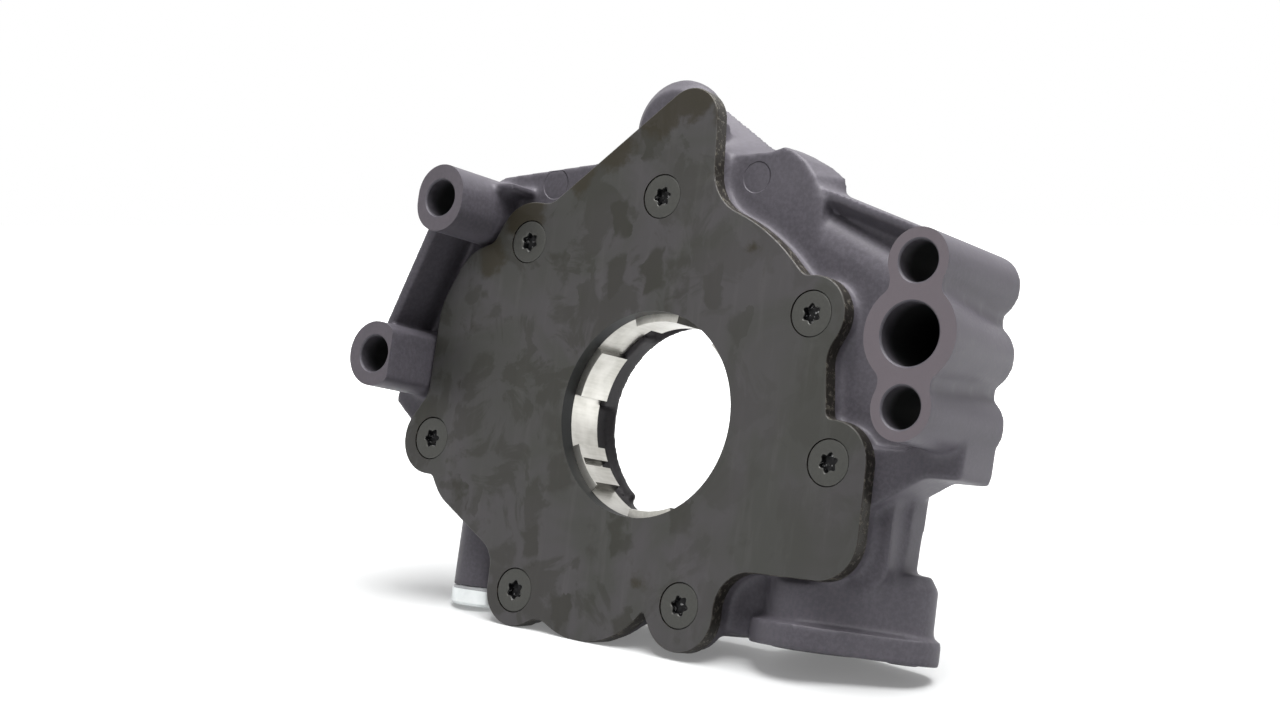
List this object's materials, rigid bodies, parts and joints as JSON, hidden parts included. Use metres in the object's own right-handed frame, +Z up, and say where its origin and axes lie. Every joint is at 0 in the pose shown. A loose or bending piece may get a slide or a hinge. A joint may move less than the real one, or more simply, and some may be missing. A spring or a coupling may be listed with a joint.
{
  "type": "engine oil pump",
  "caption": "Crank-driven gerotor oil pump: a die-cast housing with mounting bosses, outlet pad and pickup flange, closed by a steel cover round a large bore.",
  "frame": {"origin": "crank axis on the cover's outer face", "axes": "+X to the right and +Z up when the cover faces the viewer, +Y from the cover through the pump along the crank axis"},
  "size_m": [0.2039, 0.0524, 0.1609],
  "materials": {
    "cast_aluminium": "die-cast, matte",
    "cover_steel": "black oxide with an oil film, satin",
    "rotor_steel": "sintered and ground",
    "screw_steel": "phosphated, satin",
    "piston_steel": "ground",
    "spring_steel": "drawn wire",
    "plug_zinc": "zinc plated, semi-gloss",
    "seal_aluminium": "soft aluminium, bare"
  },
  "bodies": {
    "pump_body": {"housing": "cast_aluminium", "cover_plate": "cover_steel", "cover_screw_1": "screw_steel", "cover_screw_2": "screw_steel", "cover_screw_3": "screw_steel", "cover_screw_4": "screw_steel", "cover_screw_5": "screw_steel", "cover_screw_6": "screw_steel", "cover_screw_7": "screw_steel", "relief_plug": "plug_zinc", "relief_plug_seal": "seal_aluminium", "relief_spring": "spring_steel"},
    "outer_rotor": {"outer_rotor": "rotor_steel"},
    "inner_rotor": {"inner_rotor": "rotor_steel"},
    "relief_piston": {"relief_piston": "piston_steel"}
  },
  "joints": [
    {"name": "inner_rotor_spin", "type": "hinge", "parent": "pump_body", "child": "inner_rotor", "pos_m": [0, 0.0105, 0], "axis": [0, 1, 0], "continuous": true},
    {"name": "outer_rotor_spin", "type": "hinge", "parent": "pump_body", "child": "outer_rotor", "pos_m": [-0.0024, 0.0105, 0], "axis": [0, 1, 0], "continuous": true},
    {"name": "relief_piston_slide", "type": "slide", "parent": "pump_body", "child": "relief_piston", "axis": [0, 0, -1], "range_m": [0, 0.008], "stiffness_N_per_m": 2500, "springref_m": -0.002, "deforming": ["relief_spring"]}
  ],
  "couplings": [
    {"joint": "outer_rotor_spin", "follows": "inner_rotor_spin", "ratio": 0.91667}
  ]
}
